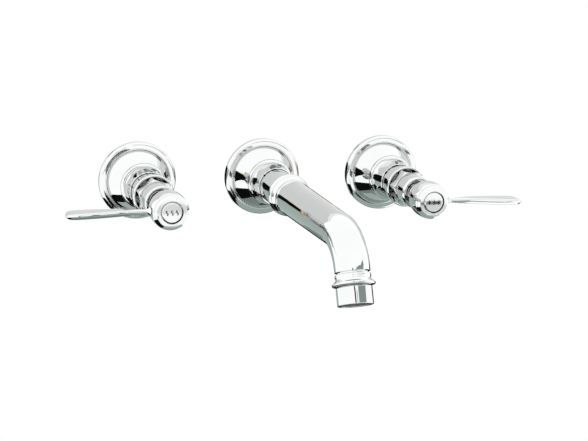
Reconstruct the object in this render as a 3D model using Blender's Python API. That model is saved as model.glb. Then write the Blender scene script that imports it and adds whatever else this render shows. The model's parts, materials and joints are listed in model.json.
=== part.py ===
"""Wall-mounted three-hole basin faucet: two lever valves and a fixed spout.

Metres, +Z up. The origin is on the finished wall plane, on the spout's axis. +X runs
from the hot valve to the cold valve, +Y runs into the wall, and the user stands at -Y.
A distance called "out" is measured out of the wall, so a piece in the wall has a
negative one. Turned pieces are drawn as (radius, out) outlines.
"""
import math

import bmesh
import bpy
from mathutils import Matrix, Vector

for leftover in list(bpy.data.objects):
    bpy.data.objects.remove(leftover, do_unlink=True)

# Layout
handle_spacing = 0.100
fit = 0.0003
overrun = 0.002
round_facets = 20
inner_facets = 12
rod_facets = 10
bend_steps = 7
cove_steps = 4
hollow_steps = 2

# Sleeves that come out of the wall
sleeve_radius = 0.0135
sleeve_wall = 0.0014
handle_sleeve_end = 0.0545
spout_sleeve_end = 0.0677

# Escutcheons, bells that cover the wall holes, each with a foam gasket behind its rim
plate_radius = 0.030
rim_width = 0.0047
rim_height = 0.0055
rim_face_width = 0.003
bell_wall = 0.0018
bell_lean = math.radians(18)
bell_flat_reach = 0.0025
bell_steep_reach = 0.0126
bell_lip = 0.0008
bead_low = 0.0222
bead_height = 0.0056
bead_step = 0.0019
bead_depth = 0.0010
neck_root_step = 0.0033
neck_height = 0.0137
gasket_thickness = 0.002
gasket_width = 0.0052
rim_shares = ((1.00, 0.00), (1.00, 0.50), (0.88, 0.80), (0.58, 1.00), (0.26, 1.00), (0.00, 0.92))

# In-wall valve bodies
valve_radius = 0.014
valve_mouth_out = -0.014
valve_chamber_length = 0.014
valve_chamber_radius = 0.0085
valve_back_wall = 0.004
seat_hole_radius = 0.0055
seat_thickness = 0.004
cartridge_room_length = 0.024
inlet_radius = 0.0104
inlet_bore_radius = 0.0065
inlet_reach = 0.034

# Crossover between the valves and the spout's tee
crossover_depth = 0.016
boss_radius = 0.0095
boss_bore_radius = 0.0055
socket_depth = 0.008
pipe_radius = 0.0075
pipe_wall = 0.001
union_flats = 0.024
union_overlap = 0.008
union_gap = 0.0015
union_wall = 0.0025
olive_length = 0.0014
tee_radius = 0.013
tee_back_wall = 0.004
tee_length = 0.032

# Quarter-turn cartridges
cartridge_radius = 0.0095
cartridge_wall = 0.0016
cartridge_flats = 0.020
cartridge_head_height = 0.005
cartridge_neck_play = 0.0016
cartridge_neck_height = 0.0032
seat_gasket_thickness = 0.0025
seat_gasket_width = 0.0034
disc_thickness = 0.003
disc_window_width = 0.0046
disc_window_length = 0.0044
disc_rim = 0.0011
drive_slot_width = 0.0034
drive_slot_length = 0.0104
drive_slot_depth = 0.0016
spindle_plate_thickness = 0.0026
spindle_radius = 0.0034
side_window_width = 0.009
side_window_height = 0.0045

# Spindle extensions and the barrels round them
extension_radius = 0.004
extension_socket_wall = 0.0023
extension_socket_length = 0.0075
spline_engagement = 0.006
barrel_skirt_wall = 0.0022
barrel_skirt_length = 0.0085
barrel_step_thickness = 0.002
barrel_tip_step = 0.001
barrel_tip_wall = 0.0022
barrel_tip_length = 0.0065

# Bonnet nuts, glands and collars
nut_flange_step = 0.0011
nut_flange_height = 0.0037
nut_corner_step = 0.0012
nut_height = 0.0127
nut_chamfer = 0.0018
nut_end_wall_bore_radius = 0.0083
nut_flange_shares = ((0.94, 0.00), (1.00, 0.24), (1.00, 0.72), (0.965, 1.00))
hot_nut_turn = math.radians(-20)
cold_nut_turn = math.radians(-8)
gland_flange_thickness = 0.0017
gland_spigot_length = 0.011
gland_end_gap = 0.0025
oring_section = 0.0016
oring_inset = 0.005
ring_corner_shares = ((0, 0), (0.4, -1), (1.6, -1), (2, 0), (1.6, 1), (0.4, 1))
collar_radius = 0.0123
collar_height = 0.0152
collar_recess_depth = 0.005
collar_shares = ((0.985, 0.00), (1.00, 0.08), (1.00, 0.70), (0.97, 0.90), (0.93, 1.00))

# Handles
hub_radius = 0.0138
hub_end_gap = 0.002
hub_side_gap = 0.001
hub_neck_radius = 0.0088
hub_neck_length = 0.010
hub_ball_height = 0.0214
hub_face_rise = 0.002
hub_shoulder_step = 0.0013
hub_neck_bead_height = 0.0011
hub_web = 0.002
neck_shares = ((0.00, 0.60), (1.00, 0.70), (1.00, 0.86), (0.00, 0.96))
ball_shares = ((0.62, 0.04), (0.83, 0.14), (0.955, 0.32), (1.00, 0.56), (1.00, 0.74), (0.97, 0.90))
cap_radius = 0.0080
cap_thickness = 0.0029
cap_proud = 0.0003
cap_edge = 0.0004
cap_spigot_play = 0.0004
cap_spigot_length = 0.0016
cap_groove_width = 0.0013
cap_groove_depth = 0.0006
screw_head_radius = 0.0040
screw_head_height = 0.0024
screw_radius = 0.0018
screw_length = 0.012
screw_slot_width = 0.0011
screw_head_clearance = 0.0015
lever_height_share = 0.748
lever_reach = 0.0743
lever_half_width = 0.0070
lever_half_height = 0.00245
lever_top_edge_share = 0.25
lever_eighth_share = 2 - math.sqrt(2)
lever_bevel_height_share = 1.0
lever_bevel_width_share = 0.8
lever_bevel_slope = math.tan(math.radians(50))
lever_flat_from_share = 0.05
lever_flat_to_share = 0.30
lever_spigot_radius = 0.0020
lever_spigot_depth = 0.0058
# Along the lever, its width and its height, each as a share of the lever's own
lever_shares = ((0.000, 0.471, 1.347), (0.010, 0.386, 1.102), (0.025, 0.293, 0.837), (0.050, 0.250, 0.714),
                (0.090, 0.286, 0.755), (0.140, 0.357, 0.837), (0.240, 0.486, 0.918), (0.374, 0.657, 0.960),
                (0.540, 0.814, 0.990), (0.710, 0.929, 1.000), (0.860, 0.993, 0.980), (0.920, 0.971, 0.940),
                (0.956, 0.886, 0.816), (0.982, 0.714, 0.590), (0.995, 0.457, 0.330), (1.000, 0.200, 0.120))
hot_lever_droop = math.radians(0.9)
cold_lever_droop = math.radians(2.5)

# Spout
nipple_radius = 0.008
nipple_wall = 0.0022
nipple_in_wall = 0.022
nipple_setback = 0.0097
adapter_thread_length = 0.014
adapter_bore_radius = 0.006
adapter_spigot_length = 0.016
ring_radius = 0.0160
ring_height = 0.0118
ring_shares = ((0.08, 0.00), (0.62, 0.05), (0.93, 0.17), (1.00, 0.30), (0.93, 0.45), (0.70, 0.53),
               (0.80, 0.60), (0.83, 0.74), (0.66, 0.87), (0.30, 0.97), (0.10, 1.00))
spout_root_radius = 0.0134
spout_tip_radius = 0.0122
spout_wall = 0.0025
spout_cuff_rise = 0.0006
spout_cuff_length = 0.005
spout_cuff_shares = ((0.00, -1), (0.35, -1), (0.45, 1), (0.90, 1), (1.00, 0))
spout_straight_length = 0.1021
spout_bend_radius = 0.0335
spout_bend = math.radians(66.5)
spout_tip_length = 0.0014
spout_oring_inset = 0.008

# Outlet collar and aerator, measured along the outlet from the end of the spout
flare_radius = 0.0149
flare_height = 0.0098
flare_shares = ((0.05, 0.00), (0.12, 0.22), (0.32, 0.48), (0.88, 0.72), (1.00, 0.80),
                (0.96, 0.90), (0.10, 1.00))
outlet_spigot_length = 0.004
outlet_spigot_wall = 0.0014
outlet_thread_length = 0.0072
aerator_radius = 0.0124
aerator_wall = 0.0014
aerator_height = 0.0124
aerator_lip = 0.0010
aerator_lip_height = 0.0008
aerator_gasket_thickness = 0.0012
aerator_insert_thickness = 0.0022
aerator_cell = 0.0020
aerator_cell_pitch = 0.0030
aerator_cell_count = 5

# Finishes: colour, roughness, metallic
finishes = {
    "chrome": ((0.55, 0.56, 0.555), 0.06, 1.0),
    "brass": ((0.72, 0.53, 0.25), 0.28, 1.0),
    "copper": ((0.78, 0.42, 0.28), 0.26, 1.0),
    "steel": ((0.60, 0.60, 0.61), 0.30, 1.0),
    "rubber": ((0.03, 0.03, 0.03), 0.75, 0.0),
    "foam": ((0.10, 0.10, 0.11), 0.90, 0.0),
    "ceramic": ((0.86, 0.84, 0.78), 0.22, 0.0),
    "nylon": ((0.07, 0.075, 0.075), 0.45, 0.0),
}

wall_axis = Matrix.Rotation(math.pi / 2, 4, "X")


def finish_material(name):
    """The Principled material of one finish, made the first time it is asked for."""
    material = bpy.data.materials.get(name)
    if material is None:
        colour, roughness, metallic = finishes[name]
        material = bpy.data.materials.new(name)
        material.use_nodes = True
        shader = material.node_tree.nodes["Principled BSDF"]
        shader.inputs["Base Color"].default_value = (*colour, 1.0)
        shader.inputs["Roughness"].default_value = roughness
        shader.inputs["Metallic"].default_value = metallic
        material.diffuse_color = (*colour, 1.0)
    return material


def to_object(name, bm):
    """Store a bmesh as a new object of the scene."""
    mesh = bpy.data.meshes.new(name)
    bmesh.ops.recalc_face_normals(bm, faces=bm.faces)
    bm.to_mesh(mesh)
    bm.free()
    made = bpy.data.objects.new(name, mesh)
    bpy.context.scene.collection.objects.link(made)
    return made


def turned(name, outline, facets=round_facets):
    """Spin an outline of (radius, out) points round the local Z axis.

    An outline that starts and ends on the axis stays open there, any other is closed.
    A flat of the polygon faces +X, so crossing pieces never meet edge on edge.
    """
    bm = bmesh.new()
    half_facet = math.pi / facets
    across, aside = math.cos(half_facet), math.sin(half_facet)
    points = [bm.verts.new((radius * across, radius * aside, out)) for radius, out in outline]
    pairs = list(zip(points, points[1:]))
    if outline[0][0] > 0 or outline[-1][0] > 0:
        pairs.append((points[-1], points[0]))
    edges = [bm.edges.new(pair) for pair in pairs]
    bmesh.ops.spin(bm, geom=points + edges, cent=(0, 0, 0), axis=(0, 0, 1), angle=2 * math.pi,
                   steps=facets, use_merge=True)
    bmesh.ops.remove_doubles(bm, verts=bm.verts, dist=fit / 100)
    return to_object(name, bm)


def rod(name, radius, low, high, facets=inner_facets):
    return turned(name, ((0, low), (radius, low), (radius, high), (0, high)), facets)


def tube(name, radius, bore, low, high, facets=inner_facets):
    return turned(name, ((bore, low), (radius, low), (radius, high), (bore, high)), facets)


def block(name, size, centre):
    """A rectangular block, used as a cutter or a key."""
    bm = bmesh.new()
    bmesh.ops.create_cube(bm, size=1)
    bmesh.ops.scale(bm, vec=size, verts=bm.verts)
    bmesh.ops.translate(bm, vec=centre, verts=bm.verts)
    return to_object(name, bm)


def aimed(piece, *steps):
    """Turn or shift a piece's mesh by the given matrices, the first one first."""
    for step in steps:
        piece.data.transform(step)
    return piece


def combine(piece, tool, operation):
    """Join, cut or trim a piece with a tool, and discard the tool."""
    change = piece.modifiers.new(operation.lower(), "BOOLEAN")
    change.operation = operation
    change.object = tool
    change.solver = "EXACT"
    evaluated = piece.evaluated_get(bpy.context.evaluated_depsgraph_get())
    result = bpy.data.meshes.new_from_object(evaluated)
    piece.modifiers.clear()
    piece.data = result
    bpy.data.objects.remove(tool, do_unlink=True)
    return piece


def joined(piece, *tools):
    for tool in tools:
        combine(piece, tool, "UNION")
    return piece


def cut(piece, *tools):
    for tool in tools:
        combine(piece, tool, "DIFFERENCE")
    return piece


def finished(piece, finish, place, parent=None):
    """Give a piece its finish and smooth shading, and put it in its place."""
    piece.data.materials.clear()
    piece.data.materials.append(finish_material(finish))
    piece.data.shade_smooth()
    piece.data.set_sharp_from_angle(angle=math.radians(30))
    piece.parent = parent
    piece.matrix_basis = place
    return piece


def along_x(distance=0, out=0):
    """From the local Z axis to the local X axis, at a distance out of the wall."""
    return Matrix.Translation((distance, 0, out)) @ Matrix.Rotation(math.pi / 2, 4, "Y")


def facing(side):
    """Leaves what points along +X as it is, or turns it to -X, round the turned axis."""
    return Matrix.Rotation(0 if side > 0 else math.pi, 4, "Z")


def shaped(shares, low_radius, high_radius, low, high):
    """Outline points from shares of a radius range and of a length."""
    span = high_radius - low_radius
    return [(low_radius + across * span, low + up * (high - low)) for across, up in shares]


def cove(wide, low, narrow, high, steps=cove_steps):
    """A hollow quarter ellipse that leaves (wide, low) flat and reaches (narrow, high) upright."""
    points = []
    for step in range(steps + 1):
        turn = math.pi / 2 * step / steps
        points.append((wide - (wide - narrow) * math.sin(turn), high - (high - low) * math.cos(turn)))
    return points


def bell_slope(wide, low, narrow, high, steps=cove_steps):
    """A nearly straight slope that leaves (wide, low) flat and reaches (narrow, high) at the bell's lean."""
    steep_radius = narrow + bell_steep_reach * math.sin(bell_lean)
    steep_out = high - bell_steep_reach * math.cos(bell_lean)
    corners = [Vector((wide, low)), Vector((wide - bell_flat_reach, low)), Vector((steep_radius, steep_out)),
               Vector((narrow, high))]
    points = []
    for step in range(steps + 1):
        pull = step / steps
        curve = corners
        while len(curve) > 1:
            curve = [one.lerp(other, pull) for one, other in zip(curve, curve[1:])]
        points.append(tuple(curve[0]))
    return points


def hexagon(name, flats, low, high):
    return rod(name, flats / 2 / math.cos(math.pi / 6), low, high, facets=6)


# Stations and radii that several pieces share, in the wall
sleeve_bore = sleeve_radius - sleeve_wall
bell_bore = sleeve_radius + fit
crossover_out = valve_mouth_out - crossover_depth
seat_out = valve_mouth_out - cartridge_room_length
chamber_top = seat_out - seat_thickness
chamber_bottom = chamber_top - valve_chamber_length
valve_back = chamber_bottom - valve_back_wall
inlet_out = (chamber_top + chamber_bottom) / 2
barrel_skirt_end = valve_mouth_out + barrel_skirt_length
barrel_skirt_bore = valve_radius + fit
barrel_skirt_radius = barrel_skirt_bore + barrel_skirt_wall
barrel_radius = sleeve_bore - fit
barrel_tip_radius = barrel_radius - barrel_tip_step
barrel_bore_radius = barrel_tip_radius - barrel_tip_wall
union_low = barrel_skirt_radius + union_gap
boss_reach = union_low + union_overlap
union_high = boss_reach + fit + olive_length + fit + union_wall
pipe_end = boss_reach - socket_depth + fit
tee_back = valve_mouth_out - tee_length

# The cartridge, from its seat outwards
cartridge_room_radius = cartridge_radius + fit
cartridge_bottom = seat_out + fit + seat_gasket_thickness + fit
cartridge_bore = cartridge_radius - cartridge_wall
cartridge_neck_radius = barrel_bore_radius - cartridge_neck_play
disc_radius = cartridge_bore - fit
disc_window_centre = disc_radius - disc_rim - disc_window_length / 2
fixed_disc_low = cartridge_bottom + fit
moving_disc_low = fixed_disc_low + disc_thickness + fit
plate_low = moving_disc_low + disc_thickness + fit
plate_high = plate_low + spindle_plate_thickness
cartridge_shoulder = plate_high + fit
cartridge_head_low = valve_mouth_out + fit
cartridge_head_high = cartridge_head_low + cartridge_head_height
cartridge_top = cartridge_head_high + cartridge_neck_height
extension_low = cartridge_top + fit
spindle_top = extension_low + spline_engagement
extension_socket_top = extension_low + extension_socket_length

# Sleeve, nut, gland and collar, from the wall outwards
sleeve_start = barrel_skirt_end + fit
barrel_tip_out = handle_sleeve_end + barrel_tip_length
nut_low = handle_sleeve_end + fit
nut_flange_top = nut_low + nut_flange_height
nut_top_out = nut_low + nut_height
nut_corner_radius = sleeve_radius + nut_corner_step
nut_flange_radius = nut_corner_radius + nut_flange_step
gland_flange_low = barrel_tip_out + fit
gland_flange_high = gland_flange_low + gland_flange_thickness
gland_neck_radius = nut_end_wall_bore_radius - fit
rod_bore = extension_radius + fit
collar_low = nut_top_out + fit
collar_lip_out = collar_low + collar_height
collar_recess_low = collar_lip_out - collar_recess_depth
collar_recess_radius = hub_neck_radius + hub_side_gap

# The handle, from the collar outwards
hub_low_out = collar_recess_low + hub_end_gap
hub_neck_end = hub_low_out + hub_neck_length
hub_shoulder_out = hub_neck_end + hub_ball_height
hub_face_out = hub_shoulder_out + hub_face_rise
hub_shoulder_radius = hub_radius - hub_shoulder_step
lever_out = hub_neck_end + lever_height_share * hub_ball_height
gland_top_out = hub_low_out - gland_end_gap
oring_out = gland_top_out - oring_inset
cap_low = hub_face_out + cap_proud - cap_thickness
cap_spigot_low = cap_low - cap_spigot_length
screw_room_radius = screw_head_radius + 2 * fit
screw_head_high = cap_spigot_low - screw_head_clearance
screw_head_low = screw_head_high - screw_head_height
screw_tip = screw_head_low - screw_length
hub_web_high = screw_head_low - fit
hub_web_low = hub_web_high - hub_web
extension_top = hub_web_low - fit

# The spout, from its sleeve outwards
nipple_end = spout_sleeve_end - nipple_setback
adapter_start = nipple_end - adapter_thread_length
adapter_radius = sleeve_bore - fit
ring_low = spout_sleeve_end + fit
ring_end = ring_low + ring_height
spout_start = ring_end + fit
spout_straight_end = spout_start + spout_straight_length
spout_spigot_radius = spout_root_radius - spout_wall - fit
outlet_spigot_radius = spout_tip_radius - spout_wall - 2 * fit
outlet_bore_radius = outlet_spigot_radius - outlet_spigot_wall
outlet_thread_radius = aerator_radius - aerator_wall
outlet_centre = (spout_straight_end + spout_bend_radius * math.sin(spout_bend)
                 + spout_tip_length * math.cos(spout_bend))
outlet_drop = (spout_bend_radius * (1 - math.cos(spout_bend))
               + spout_tip_length * math.sin(spout_bend))
outlet_axis = (Matrix.Translation((0, -outlet_centre, -outlet_drop))
               @ Matrix.Rotation(math.pi / 2 + spout_bend, 4, "X"))


def make_escutcheon(name, place):
    """A hollow bell: rounded rim, sloping side, bead, then a cove up to the sleeve."""
    rim_inner = plate_radius - rim_width
    neck_end_radius = bell_bore + bell_lip
    bead_high = bead_low + bead_height
    bead_middle = bead_low + bead_height / 2
    neck_root_radius = sleeve_radius + neck_root_step
    bead_radius = neck_root_radius + bead_step
    hollow_floor = gasket_thickness + fit
    recess_radius = plate_radius - rim_face_width
    outline = shaped(rim_shares, rim_inner, plate_radius, 0, rim_height)
    outline += bell_slope(rim_inner - fit, rim_height - fit, bead_radius - bead_depth, bead_low)
    outline += [(bead_radius, bead_low + bead_depth), (bead_radius, bead_middle + bead_depth)]
    neck_end = bead_high + neck_height
    outline += cove(neck_root_radius, bead_high, neck_end_radius, neck_end, cove_steps - 1)
    outline += [(bell_bore, neck_end), (bell_bore, bead_high + bell_wall)]
    hollow_top_radius = bead_radius - bead_depth - bell_wall
    hollow = cove(rim_inner - bell_wall, hollow_floor + bell_lip, hollow_top_radius, bead_high, hollow_steps)
    outline += reversed(hollow)
    outline += [(recess_radius, hollow_floor), (recess_radius, 0)]
    finished(turned(name, outline), "chrome", place)


def make_wall_gasket(name, place):
    outer = plate_radius - rim_face_width - fit
    finished(tube(name, outer, outer - gasket_width, 0, gasket_thickness, round_facets), "foam", place)


def pipe_port(side):
    """Cutter for a side outlet: the bore from the axis, then the wider socket for the pipe."""
    floor = boss_reach - socket_depth
    socket = pipe_radius + fit
    end = boss_reach + overrun
    port = turned("port", ((0, 0), (boss_bore_radius, 0), (boss_bore_radius, floor), (socket, floor),
                           (socket, end), (0, end)), inner_facets)
    return aimed(port, along_x(0, crossover_out), facing(side))


def make_valve_body(name, inward, place):
    """Inlet chamber, seat, cartridge room and a side outlet that faces the spout."""
    body = rod(name, valve_radius, valve_back, valve_mouth_out, round_facets)
    boss = aimed(rod("boss", boss_radius, 0, boss_reach), along_x(0, crossover_out), facing(inward))
    inlet = aimed(rod("inlet", inlet_radius, 0, inlet_reach),
                  Matrix.Rotation(math.pi / 2, 4, "X"), Matrix.Translation((0, 0, inlet_out)))
    joined(body, boss, inlet)
    mouth = valve_mouth_out + overrun
    room = turned("room", ((0, chamber_bottom), (valve_chamber_radius, chamber_bottom),
                           (valve_chamber_radius, chamber_top), (seat_hole_radius, chamber_top),
                           (seat_hole_radius, seat_out), (cartridge_room_radius, seat_out),
                           (cartridge_room_radius, mouth), (0, mouth)), inner_facets)
    bore = aimed(rod("bore", inlet_bore_radius, 0, inlet_reach + overrun),
                 Matrix.Rotation(math.pi / 2, 4, "X"), Matrix.Translation((0, 0, inlet_out)))
    cut(body, room, pipe_port(inward), bore)
    finished(body, "brass", place)


def make_mixing_tee(name, place):
    """The closed-back body that takes both crossovers and sends the water to the spout."""
    body = rod(name, tee_radius, tee_back, valve_mouth_out, round_facets)
    arms = aimed(rod("arms", boss_radius, -boss_reach, boss_reach), along_x(0, crossover_out))
    joined(body, arms)
    room = rod("room", nipple_radius + fit, tee_back + tee_back_wall, valve_mouth_out + overrun)
    cut(body, room, pipe_port(-1), pipe_port(1))
    finished(body, "brass", place)


def make_crossover(name, side):
    """The straight copper pipe from one valve to the tee."""
    near = min(side * pipe_end, side * (handle_spacing - pipe_end))
    far = max(side * pipe_end, side * (handle_spacing - pipe_end))
    pipe = aimed(tube(name, pipe_radius, pipe_radius - pipe_wall, near, far), along_x(0, crossover_out))
    finished(pipe, "copper", wall_axis)


def make_union_nut(name, inward, place):
    """Compression nut that clamps the crossover pipe to the valve's side outlet."""
    nut = hexagon(name, union_flats, union_low, union_high)
    pocket_end = union_high - union_wall
    pocket = boss_radius + fit
    hole = pipe_radius + fit
    low, high = union_low - overrun, union_high + overrun
    room = turned("room", ((0, low), (pocket, low), (pocket, pocket_end), (hole, pocket_end),
                           (hole, high), (0, high)), inner_facets)
    aimed(cut(nut, room), along_x(0, crossover_out), facing(inward))
    finished(nut, "brass", place)


def make_olive(name, inward, place):
    """The ring that the union nut squeezes onto the crossover pipe."""
    low = boss_reach + fit
    olive = tube(name, boss_radius, pipe_radius + fit, low, low + olive_length)
    finished(aimed(olive, along_x(0, crossover_out), facing(inward)), "brass", place)


def make_seat_gasket(name, place):
    low = seat_out + fit
    inner = cartridge_radius - seat_gasket_width
    finished(tube(name, cartridge_radius, inner, low, low + seat_gasket_thickness), "rubber", place)


def make_cartridge_body(name, place):
    """Brass housing with a hexagon head, an open end for the discs and two side windows."""
    bore = spindle_radius + fit
    body = turned(name, ((cartridge_bore, cartridge_bottom), (cartridge_radius, cartridge_bottom),
                         (cartridge_radius, cartridge_head_low), (cartridge_neck_radius, cartridge_head_low),
                         (cartridge_neck_radius, cartridge_top), (bore, cartridge_top),
                         (bore, cartridge_shoulder), (cartridge_bore, cartridge_shoulder)), inner_facets)
    head = hexagon("head", cartridge_flats, cartridge_head_low, cartridge_head_high)
    cut(head, rod("hole", (bore + cartridge_neck_radius) / 2, cartridge_head_low - overrun,
                  cartridge_head_high + overrun))
    joined(body, head)
    window_middle = cartridge_shoulder - fit - side_window_height / 2
    window_size = (3 * cartridge_radius, side_window_width, side_window_height)
    window = block("window", window_size, (0, 0, window_middle))
    finished(cut(body, window), "brass", place)


def disc_windows(low, high, quarter):
    """Cutters for the two water windows of a ceramic disc."""
    cutters = []
    for side in (-1, 1):
        window = block("window", (disc_window_length, disc_window_width, high - low + 2 * overrun),
                       (side * disc_window_centre, 0, (low + high) / 2))
        cutters.append(aimed(window, Matrix.Rotation(quarter * math.pi / 2, 4, "Z")))
    return cutters


def make_fixed_disc(name, place):
    high = fixed_disc_low + disc_thickness
    disc = rod(name, disc_radius, fixed_disc_low, high)
    finished(cut(disc, *disc_windows(fixed_disc_low, high, 0)), "ceramic", place)


def make_moving_disc(name, pivot):
    """The disc that the spindle turns, its windows a quarter turn from the fixed ones when shut."""
    high = moving_disc_low + disc_thickness
    disc = rod(name, disc_radius, moving_disc_low, high)
    slot = block("slot", (drive_slot_length, drive_slot_width, 2 * drive_slot_depth), (0, 0, high))
    finished(cut(disc, slot, *disc_windows(moving_disc_low, high, 1)), "ceramic", Matrix.Identity(4), pivot)


def make_spindle(name, pivot):
    """Cartridge spindle: drive plate with a key for the moving disc, and a stem."""
    spindle = turned(name, ((0, plate_low), (disc_radius, plate_low), (disc_radius, plate_high),
                            (spindle_radius, plate_high), (spindle_radius, spindle_top), (0, spindle_top)),
                     inner_facets)
    key_depth = drive_slot_depth - fit
    key_size = (drive_slot_length - 2 * fit, drive_slot_width - 2 * fit, 2 * key_depth)
    key = block("key", key_size, (0, 0, plate_low))
    finished(joined(spindle, key), "brass", Matrix.Identity(4), pivot)


def make_extension(name, pivot):
    """The long rod from the cartridge spindle to the handle hub, socketed and tapped."""
    bore = spindle_radius + fit
    socket_floor = spindle_top + fit
    tapping = screw_radius + fit
    tapping_low = screw_tip - fit
    socket_radius = bore + extension_socket_wall
    outline = ((bore, extension_low), (socket_radius, extension_low),
               (socket_radius, extension_socket_top), (extension_radius, extension_socket_top),
               (extension_radius, extension_top), (tapping, extension_top), (tapping, tapping_low),
               (0, tapping_low))
    rod_part = turned(name, ((0, socket_floor), (bore, socket_floor), *outline), inner_facets)
    finished(rod_part, "brass", Matrix.Identity(4), pivot)


def make_barrel(name, place):
    """Extension barrel: a skirt over the valve's mouth, then the tube inside the sleeve."""
    skirt_low = crossover_out + boss_radius + fit
    step_low = barrel_skirt_end - barrel_step_thickness
    outline = ((barrel_skirt_bore, skirt_low), (barrel_skirt_radius, skirt_low),
               (barrel_skirt_radius, barrel_skirt_end), (barrel_radius, barrel_skirt_end),
               (barrel_radius, handle_sleeve_end), (barrel_tip_radius, handle_sleeve_end),
               (barrel_tip_radius, barrel_tip_out), (barrel_bore_radius, barrel_tip_out),
               (barrel_bore_radius, step_low), (barrel_skirt_bore, step_low))
    finished(turned(name, outline, round_facets), "brass", place)


def make_sleeve(name, end, place):
    finished(tube(name, sleeve_radius, sleeve_bore, sleeve_start, end, round_facets), "chrome", place)


def make_bonnet_nut(name, turn, place):
    """Round flange and a chamfered hexagon, hollowed for the barrel's tip and the gland."""
    pocket = barrel_tip_radius + fit
    pocket_end = gland_flange_high + fit
    top_radius = nut_corner_radius - nut_chamfer
    outline = shaped(nut_flange_shares, 0, nut_flange_radius, nut_low, nut_flange_top)
    outline += [(nut_corner_radius, nut_flange_top), (nut_corner_radius, nut_top_out - nut_chamfer / 2),
                (top_radius, nut_top_out), (nut_end_wall_bore_radius, nut_top_out),
                (nut_end_wall_bore_radius, pocket_end), (pocket, pocket_end), (pocket, nut_low)]
    nut = turned(name, outline)
    guide = rod("guide", nut_corner_radius, nut_flange_top, nut_top_out + overrun, facets=6)
    foot = rod("foot", nut_flange_radius + overrun, nut_low - overrun, nut_flange_top, facets=round_facets)
    guide = joined(aimed(guide, Matrix.Rotation(turn, 4, "Z")), foot)
    finished(combine(nut, guide, "INTERSECT"), "chrome", place)


def make_gland(name, place):
    """Brass gland: a spigot in the barrel, a flange under the nut and a neck for the collar."""
    groove_radius = rod_bore + oring_section
    groove_low = oring_out - oring_section / 2 - fit
    groove_high = oring_out + oring_section / 2 + fit
    spigot = barrel_bore_radius - fit
    spigot_low = gland_flange_low - gland_spigot_length
    outline = ((rod_bore, spigot_low), (spigot, spigot_low), (spigot, gland_flange_low),
               (barrel_tip_radius, gland_flange_low), (barrel_tip_radius, gland_flange_high),
               (gland_neck_radius, gland_flange_high),
               (gland_neck_radius, gland_top_out), (rod_bore, gland_top_out), (rod_bore, groove_high),
               (groove_radius, groove_high), (groove_radius, groove_low), (rod_bore, groove_low))
    finished(turned(name, outline, inner_facets), "brass", place)


def ring_outline(inner, section, out):
    """A round-cornered ring section, from its inner radius outwards."""
    half = section / 2
    return [(inner + across * half, out + up * half) for across, up in ring_corner_shares]


def make_oring(name, inner, section, out, facets, place):
    finished(turned(name, ring_outline(inner, section, out), facets), "rubber", place)


def make_collar(name, place):
    """Trim collar on the gland's neck, with a recess that the hub's neck turns in."""
    bore = gland_neck_radius + fit
    outline = shaped(collar_shares, 0, collar_radius, collar_low, collar_lip_out)
    outline += [(collar_recess_radius, collar_lip_out), (collar_recess_radius, collar_recess_low),
                (bore, collar_recess_low), (bore, collar_low)]
    finished(turned(name, outline), "chrome", place)


def make_hub(name, pivot, inward):
    """Ball-shaped hub: beaded neck, round shoulder, domed face with a recess for the cap."""
    cap_room = cap_radius + fit
    groove_radius = cap_room + cap_groove_width
    groove_floor = hub_face_out - cap_groove_depth
    outline = [(hub_neck_radius, hub_low_out)]
    bead_radius = hub_neck_radius + hub_neck_bead_height
    outline += shaped(neck_shares, hub_neck_radius, bead_radius, hub_low_out, hub_neck_end)
    outline += shaped(ball_shares, 0, hub_radius, hub_neck_end, hub_shoulder_out)
    outline += [(hub_shoulder_radius, hub_shoulder_out), (groove_radius + cap_groove_width, hub_face_out),
                (groove_radius, hub_face_out), (groove_radius - cap_groove_width / 4, groove_floor),
                (cap_room, groove_floor), (cap_room, cap_low - fit), (screw_room_radius, cap_low - fit),
                (screw_room_radius, hub_web_high), (screw_radius + fit, hub_web_high),
                (screw_radius + fit, hub_web_low), (rod_bore, hub_web_low), (rod_bore, hub_low_out)]
    hub = turned(name, outline)
    hole_low = hub_radius - lever_spigot_depth - fit
    hole = aimed(rod("hole", lever_spigot_radius + fit, hole_low, hub_radius + overrun, rod_facets),
                 along_x(0, lever_out), facing(-inward))
    finished(cut(hub, hole), "chrome", Matrix.Identity(4), pivot)


def lever_section(half_width, half_height, flatness):
    """Corners (across, up) of the lever's cross-section, from an eight-sided bar to a flat, bevelled one."""
    eighth_cut = lever_eighth_share * half_height
    top_cut = eighth_cut + (lever_top_edge_share * half_height - eighth_cut) * flatness
    bevel_height = eighth_cut + (lever_bevel_height_share * half_height - eighth_cut) * flatness
    eighth_width = lever_eighth_share * half_width
    flat_width = min(lever_bevel_slope * bevel_height, lever_bevel_width_share * half_width)
    bevel_width = eighth_width + (flat_width - eighth_width) * flatness
    side = [(half_width - top_cut, half_height), (half_width, half_height - top_cut),
            (half_width, bevel_height - half_height), (half_width - bevel_width, -half_height)]
    return side + [(-across, up) for across, up in side[::-1]]


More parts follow.
